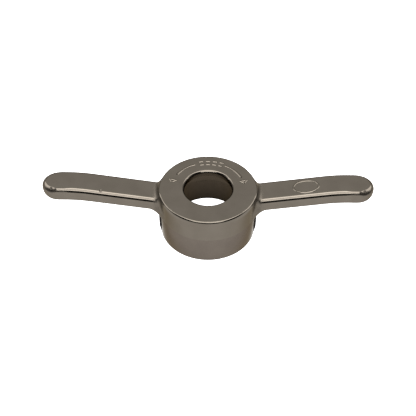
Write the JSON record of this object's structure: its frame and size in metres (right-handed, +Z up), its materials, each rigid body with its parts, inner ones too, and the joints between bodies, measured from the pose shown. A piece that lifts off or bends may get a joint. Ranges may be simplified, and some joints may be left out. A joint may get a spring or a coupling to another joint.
{
  "type": "plug valve operating handle",
  "caption": "Two-armed quarter-turn operating handle with a cup-shaped hub and a clear stem bore, turning on a short round collar with side keys.",
  "frame": {"origin": "on the turning axis, at the collar's bottom face, which is the bottom centre of the whole part", "axes": "+Z up along the turning axis, +X along the right arm, -Y towards the front"},
  "size_m": [0.1988, 0.06, 0.0373],
  "materials": {
    "plated_steel": "satin grey nickel plate over a fine casting, brighter on the rounded edges",
    "machined_steel": "turned and plated, with faint rings round it",
    "black_oxide": "black oxide, satin",
    "spring_steel": "oiled dark spring steel",
    "bronze": "plain bearing bronze",
    "rubber": "moulded black rubber"
  },
  "bodies": {
    "collar": {"collar_ring": "machined_steel", "bearing_bush": "bronze", "thrust_washer": "spring_steel", "stop_pin": "machined_steel", "side_key_left": "black_oxide", "side_key_right": "black_oxide", "key_screw_left": "black_oxide", "key_screw_right": "black_oxide"},
    "handle": {"handle_casting": "plated_steel", "dust_seal": "rubber", "retaining_clip": "spring_steel"}
  },
  "joints": [
    {"name": "handle_turn", "type": "hinge", "parent": "collar", "child": "handle", "pos_m": [0, 0, 0.0181], "axis": [0, 0, 1], "range_deg": [-90, 90]}
  ]
}
